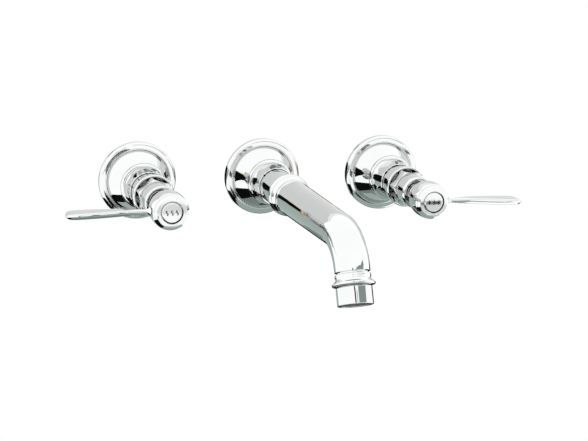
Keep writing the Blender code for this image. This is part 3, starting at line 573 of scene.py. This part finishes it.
def make_bonnet_nut(name, nut_turn, place):
    """Pressed ring flange with a recess, then a hexagon whose corners are turned down."""
    low, high, radius = span(name)
    ring_top = low + nut_ring_height
    ring_half = nut_ring_width / 2
    ring_inner = radius - nut_ring_width
    floor = ring_top - nut_ring_recess
    corner = radius - nut_corner_step
    flats = corner * math.cos(math.radians(30))
    chamfer_low = high - nut_chamfer / 2
    outline = [(nut_bore, low), (radius - edge, low), (radius, low + edge)]
    outline += arc((radius - ring_half, ring_top - ring_half), ring_half, *flange_arc, flange_steps)
    rings = [[point] * nut_steps for point in outline]
    levels = [(floor, True), (ring_top - edge, True), (ring_top + edge / 2, False)]
    levels += [(ring_top + (chamfer_low - ring_top) * step / nut_side_steps, False)
               for step in range(1, nut_side_steps)]
    levels += [(chamfer_low + (high - chamfer_low) * step / nut_chamfer_steps, False)
               for step in range(-nut_chamfer_steps // 2, nut_chamfer_steps + 1)]
    for out, inside_ring in levels:
        trimmed = corner + edge - max(0, out - chamfer_low) * nut_chamfer_slope
        ring = []
        for step in range(nut_steps):
            turn = 2 * math.pi * step / nut_steps - nut_turn
            reach = soft_least(hexagon_radius(turn, flats), trimmed)
            ring.append((min(reach, ring_inner - edge / 2) if inside_ring else reach, out))
        rings.append(ring)
    rings += [[(nut_bore, high)] * nut_steps]
    placed(lofted(name + "_hexagon", rings), place, chrome, "polished_chrome", "root", name)


def make_collar(name, place):
    """Smooth collar with a rolled lip round the recess that the handle's neck turns in."""
    low, high, radius = span(name)
    lip = collar_lip / 2
    lip_centre = collar_recess_radius + lip
    outline = rounded([(nut_bore, low), (radius - edge, low, edge),
                       (radius - edge / 2, low + 2 * edge)], closed=False)
    outline += flowing([(radius, low + 4 * edge), (radius, high - 8 * lip), (radius - edge, high - 4 * lip),
                        (radius - 3 * edge, high - 2 * lip)], curve_steps)
    outline += arc((lip_centre + edge, high - lip), lip + edge / 2, *lip_arc, lip_steps)
    recess = high - collar_recess_depth
    outline += rounded([(collar_recess_radius, high - lip), (collar_recess_radius, recess, edge),
                        (nut_bore, recess)], closed=False)
    placed(turned(name + "_ring", outline), place, chrome, "polished_chrome", "root", name)


# Handles

def make_hub(name, place, body):
    """Ball-shaped hub: beaded neck, ball, stepped shoulder and a flat face round the cap."""
    low, high, _ = span("hot_handle_hub")
    radius = hub_radius
    seat = span("hot_index_cap")[2] + edge
    neck_high = low + hub_neck_length
    ball_high = neck_high + hub_ball_height
    shoulder = radius - hub_shoulder_step
    ledge_high = ball_high + hub_ledge_height
    face = radius - hub_face_step
    outline = [(hub_bore, low), (hub_neck_radius - edge, low)]
    bead_radius = hub_neck_radius + hub_neck_bead
    outline += flowing(shaped(neck_shares, hub_neck_radius, bead_radius, low, neck_high), curve_steps)
    outline += flowing(shaped(ball_shares, 0, radius, neck_high, ball_high), ball_steps)
    outline += rounded([outline[-1], (shoulder, ball_high, edge / 2), (shoulder, ledge_high, edge),
                        (face + edge / 2, high - hub_face_rise, edge / 2), (face, high, edge / 2),
                        (seat, high)], closed=False)[1:]
    outline += [(seat, high - cap_seat_depth), (hub_bore, high - cap_seat_depth)]
    placed(turned(name + "_ball", outline), place, chrome, "polished_chrome", body, name)


def lever_section(half_width, half_height, flatness):
    """Corners (across, up) of the lever's section: eight-sided at flatness 0, flat and bevelled at 1."""
    eighth_cut = lever_eighth_share * half_height
    top_cut = eighth_cut + (lever_top_edge_share * half_height - eighth_cut) * flatness
    bevel_height = eighth_cut + (lever_bevel_height_share * half_height - eighth_cut) * flatness
    eighth_width = lever_eighth_share * half_width
    flat_width = min(lever_bevel_slope * bevel_height, lever_bevel_width_share * half_width)
    bevel_width = eighth_width + (flat_width - eighth_width) * flatness
    top_width = eighth_width + (top_cut - eighth_width) * flatness
    side = [(half_width - top_width, half_height), (half_width, half_height - top_cut),
            (half_width, bevel_height - half_height), (half_width - bevel_width, -half_height)]
    return side + [(-across, up) for across, up in side[::-1]]


def softened(corners, reach):
    """The same outline with each corner rounded, at most as far along its sides as reach."""
    fillets = []
    for index, corner in enumerate(corners):
        here = Vector(corner)
        back = Vector(corners[index - 1]) - here
        ahead = Vector(corners[(index + 1) % len(corners)]) - here
        along = min(reach, back.length / 2, ahead.length / 2)
        fillets.append((*corner, along * math.tan(back.angle(ahead) / 2)))
    return rounded(fillets, steps=lever_edge_steps)


def make_lever(name, place, body, side):
    """Slim lever with a trumpet root, widening to a flat paddle with a rounded tip."""
    hub_low, hub_high, _ = span("hot_handle_hub")
    lever_out = hub_low + lever_height_share * (hub_high - hub_low)
    reach = centre_x("hot_sleeve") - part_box("hot_lever")[0].x
    start = hub_radius + edge
    stations = [(hub_radius - lever_spigot_depth, lever_spigot_radius, lever_spigot_radius),
                (start, lever_spigot_radius, lever_spigot_radius)]
    for along, width, height in flowing(lever_shares, lever_reach_steps):
        out = start + along * (reach - start)
        stations.append((out, width * lever_half_width, height * lever_half_height))
    bm = bmesh.new()
    rings = []
    for out, half_width, half_height in stations:
        along = max(0, out - start) / (reach - start)
        flatness = (along - lever_flat_from_share) / (lever_flat_to_share - lever_flat_from_share)
        flatness = min(1, max(0, flatness))
        soft = half_width + (lever_soft_edge - half_width) * flatness
        corners = lever_section(half_width, half_height, flatness)
        rings.append([bm.verts.new((across, up, out)) for across, up in softened(corners, soft)])
    join_rings(bm, rings, closed=False)
    bm.faces.new(rings[0])
    bm.faces.new(rings[-1])
    piece = to_object(name + "_arm", bm)
    piece.data.transform(Matrix.Translation((0, 0, lever_out)) @ Matrix.Rotation(side * math.pi / 2, 4, "Y"))
    placed(piece, place, chrome, "polished_chrome", body, name)


def stroke(bm, path, width, top, depth):
    """A raised stroke that follows a path of (x, y) points, closed on all sides."""
    sections = []
    for index, here in enumerate(path):
        before = Vector(path[max(index - 1, 0)])
        after = Vector(path[min(index + 1, len(path) - 1)])
        along = (after - before).normalized()
        across = Vector((-along.y, along.x)) * width / 2
        left, right = Vector(here) + across, Vector(here) - across
        sections.append([bm.verts.new((*point, out)) for point, out in
                         ((left, top), (right, top), (right, top - depth), (left, top - depth))])
    faces = [bm.faces.new(sections[0]), bm.faces.new(sections[-1][::-1])]
    for one, two in zip(sections, sections[1:]):
        for corner in range(4):
            other = (corner + 1) % 4
            faces.append(bm.faces.new((one[corner], one[other], two[other], two[corner])))
    bmesh.ops.recalc_face_normals(bm, faces=faces)
    for face in faces:
        face.material_index = 1


def wave_paths():
    """Three upright wavy strokes, side by side."""
    paths = []
    for place in (-1, 0, 1):
        path = []
        for step in range(wave_steps + 1):
            up = step / wave_steps
            sway = mark_stroke * mark_sway_share * math.sin(2 * math.pi * up)
            path.append((place * mark_pitch + sway, (up - 0.5) * mark_height))
        paths.append(path)
    return paths


def star_paths():
    """Three six-armed stars, side by side, as three crossing strokes each."""
    paths = []
    for place in (-1, 0, 1):
        for third in range(3):
            turn = math.radians(30 + 60 * third)
            arm = (mark_height / 2 * math.cos(turn), mark_height / 2 * math.sin(turn))
            middle = place * mark_pitch
            paths.append([(middle - arm[0], -arm[1]), (middle + arm[0], arm[1])])
    return paths


def make_cap(name, place, body, paths):
    """Index cap: a flat disc with a softened edge, and small filled marks on its face."""
    low, high, radius = span("hot_index_cap")
    foot = high - cap_thickness
    outline = rounded([(0, foot), (radius, foot), (radius, high - cap_edge_depth),
                       (radius - cap_face_step, high, edge / 2), (0, high)], closed=False)
    disc = turned(name + "_disc", outline)
    bm = bmesh.new()
    bm.from_mesh(disc.data)
    for path in paths:
        stroke(bm, path, mark_stroke, high + mark_proud, mark_depth)
    bm.to_mesh(disc.data)
    bm.free()
    placed(disc, place, (chrome, fill), "polished_chrome", body, name)


# Spout

def make_spout_ring(name, place):
    low, high, radius = span(name)
    inner = spout_root_radius - spout_wall - edge
    outline = [(inner, low)]
    outline += flowing(shaped(ring_shares, inner, radius, low, high), ring_steps)
    outline += [(inner, high)]
    placed(turned(name + "_beads", outline), place, chrome, "polished_chrome", "root", name)


def spout_path():
    """The spout's centreline from its root, as (out, height, slope downwards)."""
    start = span("spout_ring")[1] + edge
    straight_end = start + spout_straight_length
    path = [(start + spout_cuff_length * along, 0, 0) for along, _ in cuff_shares]
    cuff_end = path[-1][0]
    path += [(cuff_end + (straight_end - cuff_end) * step / straight_steps, 0, 0)
             for step in range(1, straight_steps + 1)]
    for step in range(1, bend_steps + 1):
        slope = spout_bend * step / bend_steps
        path.append((straight_end + spout_bend_radius * math.sin(slope),
                     -spout_bend_radius * (1 - math.cos(slope)), slope))
    out, height, slope = path[-1]
    path.append((out + spout_tip_length * math.cos(slope),
                 height - spout_tip_length * math.sin(slope), slope))
    return path


def make_spout_tube(name, path):
    """One continuous bent tube, tapering to its mouth, with a raised cuff at its root."""
    travelled = [0]
    for before, after in zip(path, path[1:]):
        travelled.append(travelled[-1] + math.hypot(after[0] - before[0], after[1] - before[1]))
    bm = bmesh.new()
    outer, inner = [], []
    for index, (out, height, slope) in enumerate(path):
        taper = (spout_tip_radius - spout_root_radius) * travelled[index] / travelled[-1]
        radius = spout_root_radius + taper
        rise = cuff_shares[index][1] * spout_cuff_rise if index < len(cuff_shares) else 0
        for rings, reach in ((outer, radius + rise), (inner, radius - spout_wall)):
            ring = []
            for step in range(turn_steps):
                turn = 2 * math.pi * step / turn_steps
                lift = reach * math.sin(turn)
                ring.append(bm.verts.new((reach * math.cos(turn), -(out + lift * math.sin(slope)),
                                          height + lift * math.cos(slope))))
            rings.append(ring)
    join_rings(bm, outer + inner[::-1])
    placed(to_object(name + "_bent", bm), Matrix.Identity(4), chrome, "polished_chrome", "root", name)


def make_outlet(end):
    """The flared collar on the spout's mouth and the aerator's shell below it."""
    out, height, slope = end
    place = Matrix.Translation((0, -out, height)) @ Matrix.Rotation(math.pi / 2 + slope, 4, "X")
    spigot = spout_tip_radius - spout_wall - edge
    bore = spigot - outlet_spigot_wall
    thread = aerator_radius - aerator_wall - edge
    flare_end = edge + flare_height
    outline = [(bore, -outlet_spigot_length), (spigot, -outlet_spigot_length), (spigot, outlet_gap)]
    groove = spout_tip_radius - flare_groove
    outline += flowing(shaped(flare_shares, groove, flare_radius, outlet_gap, flare_end), curve_steps)
    outline += [(thread, flare_end), (thread, flare_end + outlet_thread_length),
                (bore, flare_end + outlet_thread_length)]
    collar = turned("outlet_collar_flare", outline)
    placed(collar, place, chrome, "polished_chrome", "root", "outlet_collar")
    top = flare_end + edge
    end = top + aerator_height
    inner = aerator_radius - aerator_wall
    outline = rounded([(inner, top), (aerator_radius, top, 2 * edge), (aerator_radius, end, 2 * edge),
                       (inner - aerator_lip, end, edge),
                       (inner - aerator_lip, end - aerator_lip_height, edge / 2),
                       (inner, end - aerator_lip_height)])
    placed(turned("aerator_shell_body", outline), place, chrome, "polished_chrome", "root", "aerator_shell")


def make_valve(prefix, side, nut_turn, droop, paths):
    """One side's nut, collar and handle; the handle stands at its droop at rest."""
    place = Matrix.Translation((centre_x(prefix + "_sleeve"), 0, 0)) @ wall_axis
    make_bonnet_nut(prefix + "_bonnet_nut", nut_turn, place)
    make_collar(prefix + "_stem_collar", place)
    turn = place @ Matrix.Rotation(-side * droop, 4, "Z")
    body = prefix + "_handle"
    make_hub(prefix + "_handle_hub", turn, body)
    make_lever(prefix + "_lever", turn, body, side)
    make_cap(prefix + "_index_cap", turn, body, paths)


for prefix in ("hot", "spout", "cold"):
    bell_place = Matrix.Translation((centre_x(prefix + "_sleeve"), 0, 0)) @ wall_axis
    make_escutcheon(prefix + "_escutcheon", bell_place)
    make_sleeve(prefix + "_sleeve", bell_place)
make_valve("hot", -1, hot_nut_turn, hot_lever_droop, wave_paths())
make_valve("cold", 1, cold_nut_turn, cold_lever_droop, star_paths())
make_spout_ring("spout_ring", wall_axis)
spout_line = spout_path()
make_spout_tube("spout_tube", spout_line)
make_outlet(spout_line[-1])


# Studio: a white room with a pale floor, and cards that only the chrome mirrors

# The wall's sheet stands just behind the plates' flat backs
wall_y = 0.0006
room_left = -2.2
room_right = 2.2
room_front = -2.6
room_back = 1.0
room_low = -1.7
room_high = 1.5
floor_low = -0.50
card_lift = 0.0002
lamp_radiance = 1.4
world_strength = 0.5
wall_colour = (0.80, 0.80, 0.80)
floor_colour = (0.72, 0.76, 0.745)
floor_roughness = 0.9

# How bright the cards are that only the chrome mirrors
bright = (1.74, 1.74, 1.74)
pale = (1.35, 1.35, 1.35)
cap_grey = (1.16, 1.16, 1.16)
plain = (1.0, 1.0, 1.0)
green = (0.53, 0.636, 0.597)
dim_green = (0.40, 0.47, 0.445)
deep_green = (0.27, 0.33, 0.31)
black = (0.006, 0.007, 0.007)

# Corners (x, y) of the cards that lie on the floor, in metres
floor_cards = {
    "green_floor": (((-0.20, 0.05), (0.35, 0.05), (0.35, -0.50), (0.50, -0.60), (0.65, -1.30), (0.97, -2.04),
                     (0.30, -2.04), (0.30, -1.60), (0.10, -1.10), (0.0, -0.95), (-0.20, -0.50)), green),
    "green_floor_back": (((-0.20, 0.05), (-0.20, room_back), (0.10, room_back), (0.10, 0.05)), deep_green),
    "dark_floor_back": (((0.10, 0.05), (0.10, room_back), (room_right, room_back), (room_right, 0.90),
                         (0.35, 0.12)), black),
    "dark_floor": (((-0.66, 0.95), (-0.20, 0.95), (-0.20, -0.50), (0.0, -0.95), (0.10, -1.10), (0.30, -1.60),
                    (0.63, -2.14), (0.54, -2.14), (0.30, -1.75), (0.10, -1.40), (-0.25, -1.15),
                    (-0.68, -0.35)), black),
    "dark_tail_hot": (((0.02, -1.35), (0.12, -1.45), (0.22, -1.80), (0.38, -2.14), (0.28, -2.14),
                       (0.14, -1.80)), black),
    "dark_tail_cold": (((0.76, -1.95), (0.84, -1.95), (1.02, -2.18), (0.92, -2.18)), black),
    "hot_cap_card": (((0.38, -2.26), (0.48, -2.26), (0.48, -2.16), (0.38, -2.16)), cap_grey),
    "cold_cap_card": (((0.91, -2.15), (1.01, -2.15), (1.01, -2.05), (0.91, -2.05)), cap_grey),
}

# Corners (x, z) of the cards in the wall's plane, which cover what is in the wall
wall_cards = {
    "cover_between": (((-0.078, -0.009), (0.078, -0.009), (0.078, 0.009), (-0.078, 0.009)), black),
    "cover_hot": (((-0.124, -0.049), (-0.076, -0.049), (-0.076, 0.024), (-0.124, 0.024)), green),
    "cover_cold": (((0.076, -0.049), (0.124, -0.049), (0.124, 0.024), (0.076, 0.024)), green),
}

# Corners (x, z) of the cards at the room's back, behind the object
back_cards = {
    "plain_back": (((-0.60, floor_low), (room_right, floor_low), (room_right, 0.55), (-0.60, 0.55)), plain),
    "pale_back": (((-0.60, 0.55), (room_right, 0.55), (room_right, 0.80), (-0.60, 0.80)), pale),
    "green_back": (((-0.75, floor_low), (0.10, floor_low), (0.10, -0.09), (-0.75, -0.09)), green),
    "dark_back": (((0.10, floor_low), (room_right, floor_low), (room_right, -0.22), (0.10, -0.22)), black),
}

# Corners (x, z) of the cards in front of the object, and (y, z) of the one on its right
front_card_y = -2.35
side_card_x = 2.1
front_cards = {
    "green_front": (((0.22, 0.60), (side_card_x, 0.60), (side_card_x, 1.58), (0.22, 1.20)), dim_green),
    "plain_front": (((-0.34, 0.60), (-0.03, 0.60), (-0.03, 1.19), (-0.34, 1.20)), plain),
    "dark_front": (((-0.88, 0.60), (-0.52, 0.60), (-0.52, 1.21), (-0.88, 1.26)), black),
}
side_card = ((front_card_y, 0.80), (-1.10, 0.80), (-1.10, 1.15), (front_card_y, 1.58))


def seen_white(nodes, links):
    """A factor of 1 for the rays of the camera, of mirroring and of glass."""
    rays = nodes.new("ShaderNodeLightPath")
    mirrored = nodes.new("ShaderNodeMath")
    mirrored.operation = "MAXIMUM"
    links.new(rays.outputs["Is Glossy Ray"], mirrored.inputs[0])
    links.new(rays.outputs["Is Transmission Ray"], mirrored.inputs[1])
    seen = nodes.new("ShaderNodeMath")
    seen.operation = "MAXIMUM"
    links.new(mirrored.outputs["Value"], seen.inputs[0])
    links.new(rays.outputs["Is Camera Ray"], seen.inputs[1])
    return seen.outputs["Value"]


def light_world():
    world = bpy.data.worlds.new("studio")
    world.use_nodes = True
    nodes, links = world.node_tree.nodes, world.node_tree.links
    nodes.clear()
    output = nodes.new("ShaderNodeOutputWorld")
    mix = nodes.new("ShaderNodeMixShader")
    soft = nodes.new("ShaderNodeBackground")
    soft.inputs["Strength"].default_value = world_strength
    white = nodes.new("ShaderNodeBackground")
    for background in (soft, white):
        background.inputs["Color"].default_value = (1, 1, 1, 1)
    links.new(seen_white(nodes, links), mix.inputs["Fac"])
    links.new(soft.outputs["Background"], mix.inputs[1])
    links.new(white.outputs["Background"], mix.inputs[2])
    links.new(mix.outputs["Shader"], output.inputs["Surface"])
    bpy.context.scene.world = world


def wall_material():
    """White wall, seen from the room's side only."""
    material = bpy.data.materials.new("studio_wall")
    material.use_nodes = True
    nodes, links = material.node_tree.nodes, material.node_tree.links
    nodes.clear()
    output = nodes.new("ShaderNodeOutputMaterial")
    paint = nodes.new("ShaderNodeBsdfDiffuse")
    paint.inputs["Color"].default_value = (*wall_colour, 1)
    white = nodes.new("ShaderNodeEmission")
    front = nodes.new("ShaderNodeMixShader")
    links.new(seen_white(nodes, links), front.inputs["Fac"])
    links.new(paint.outputs["BSDF"], front.inputs[1])
    links.new(white.outputs["Emission"], front.inputs[2])
    clear = nodes.new("ShaderNodeBsdfTransparent")
    sides = nodes.new("ShaderNodeNewGeometry")
    both = nodes.new("ShaderNodeMixShader")
    links.new(sides.outputs["Backfacing"], both.inputs["Fac"])
    links.new(front.outputs["Shader"], both.inputs[1])
    links.new(clear.outputs["BSDF"], both.inputs[2])
    links.new(both.outputs["Shader"], output.inputs["Surface"])
    return material


def floor_material():
    return shader_of("studio_floor", floor_colour, 0.0, floor_roughness)[0]


def glow(name, colour):
    """An even brightness, for a card."""
    material = bpy.data.materials.new(name)
    material.use_nodes = True
    nodes, links = material.node_tree.nodes, material.node_tree.links
    nodes.clear()
    output = nodes.new("ShaderNodeOutputMaterial")
    light = nodes.new("ShaderNodeEmission")
    light.inputs["Color"].default_value = (*colour, 1)
    links.new(light.outputs["Emission"], output.inputs["Surface"])
    return material


def sheet(name, corners, material, hidden_from):
    """A flat part of the stage through its corners, unseen by some kinds of rays."""
    bm = bmesh.new()
    bm.faces.new([bm.verts.new(corner) for corner in corners])
    mesh = bpy.data.meshes.new(name)
    bm.to_mesh(mesh)
    bm.free()
    mesh.materials.append(material)
    made = bpy.data.objects.new(name, mesh)
    bpy.context.scene.collection.objects.link(made)
    for rays in hidden_from:
        setattr(made, "visible_" + rays, False)


def card(name, corners, colour):
    """A card that only mirroring surfaces see."""
    hidden_from = ("camera", "diffuse", "shadow", "transmission", "volume_scatter")
    sheet(name, corners, glow(name, colour), hidden_from)


def softbox(name, low, high):
    """A soft lamp that fills one side of the room, between two opposite corners, and faces its middle."""
    low, high = Vector(low), Vector(high)
    middle = (low + high) / 2
    size = high - low
    thin = min(range(3), key=lambda axis: size[axis])
    aim = Vector((0, 0, 0))
    aim[thin] = -1 if middle[thin] > 0 else 1
    lamp = bpy.data.lights.new(name, "AREA")
    lamp.shape = "RECTANGLE"
    lamp.size = size[1] if thin == 0 else size[0]
    lamp.size_y = size[1] if thin == 2 else size[2]
    lamp.energy = lamp_radiance * math.pi * lamp.size * lamp.size_y
    holder = bpy.data.objects.new(name, lamp)
    holder.visible_glossy = False
    holder.location = middle
    holder.rotation_euler = aim.to_track_quat("-Z", "Z" if thin != 2 else "Y").to_euler()
    bpy.context.scene.collection.objects.link(holder)


def room_cards():
    """The bright room that the chrome mirrors: its sides, its ceiling and the floor beyond the cards."""
    left, right, front, back = room_left, room_right, room_front, room_back
    sides = {
        "bright_front": ((left, front, floor_low), (right, front, floor_low), (right, front, room_high),
                         (left, front, room_high)),
        "bright_back": ((left, back, floor_low), (right, back, floor_low), (right, back, room_high),
                        (left, back, room_high)),
        "bright_left": ((left, front, floor_low), (left, back, floor_low), (left, back, room_high),
                        (left, front, room_high)),
        "bright_right": ((right, front, floor_low), (right, back, floor_low), (right, back, room_high),
                         (right, front, room_high)),
        "bright_above": ((left, front, room_high), (right, front, room_high), (right, back, room_high),
                         (left, back, room_high)),
        "bright_floor": ((left, front, floor_low), (right, front, floor_low), (right, back, floor_low),
                         (left, back, floor_low)),
    }
    for name, corners in sides.items():
        card(name, corners, bright)


def make_studio():
    light_world()
    sheet("studio_wall", ((room_left, wall_y, floor_low), (room_right, wall_y, floor_low),
                          (room_right, wall_y, room_high), (room_left, wall_y, room_high)),
          wall_material(), ("glossy", "shadow"))
    sheet("studio_floor", ((room_left, room_front, floor_low), (room_right, room_front, floor_low),
                           (room_right, -room_front, floor_low), (room_left, -room_front, floor_low)),
          floor_material(), ("glossy",))
    softbox("softbox_above", (room_left, room_front, room_high), (room_right, room_back, room_high))
    softbox("softbox_front", (room_left, room_front, room_low), (room_right, room_front, room_high))
    room_cards()
    for name, (corners, colour) in floor_cards.items():
        lift = card_lift * (1 + list(floor_cards).index(name))
        card(name, [(x, y, floor_low + lift) for x, y in corners], colour)
    for name, (corners, colour) in back_cards.items():
        lift = card_lift * (1 + list(back_cards).index(name))
        card(name, [(x, room_back - lift, z) for x, z in corners], colour)
    for name, (corners, colour) in front_cards.items():
        card(name, [(x, front_card_y, z) for x, z in corners], colour)
    card("green_side", [(side_card_x, y, z) for y, z in side_card], dim_green)
    for name, (corners, colour) in wall_cards.items():
        card(name, [(x, wall_y, z) for x, z in corners], colour)
    bpy.context.scene.view_settings.view_transform = "Standard"


make_studio()

# Camera, with its lens and sensor in millimetres
camera_place = Vector((-0.3791, -1.2208, 0.2687))
camera_yaw = math.radians(18.471)
camera_pitch = math.radians(-13.389)
camera_roll = math.radians(1.979)
camera_lens = 101.44
camera_sensor = 36
camera_near = 0.05
camera_far = 20


def make_camera():
    camera = bpy.data.cameras.new("camera")
    camera.lens = camera_lens
    camera.sensor_width = camera_sensor
    camera.clip_start = camera_near
    camera.clip_end = camera_far
    holder = bpy.data.objects.new("camera", camera)
    bpy.context.scene.collection.objects.link(holder)
    ahead = Vector((math.sin(camera_yaw) * math.cos(camera_pitch),
                    math.cos(camera_yaw) * math.cos(camera_pitch), math.sin(camera_pitch)))
    level = ahead.cross(Vector((0, 0, 1))).normalized()
    upright = level.cross(ahead)
    right = math.cos(camera_roll) * level + math.sin(camera_roll) * upright
    up = math.cos(camera_roll) * upright - math.sin(camera_roll) * level
    turn = Matrix((right, up, -ahead)).transposed().to_4x4()
    holder.matrix_world = Matrix.Translation(camera_place) @ turn
    bpy.context.scene.camera = holder


make_camera()
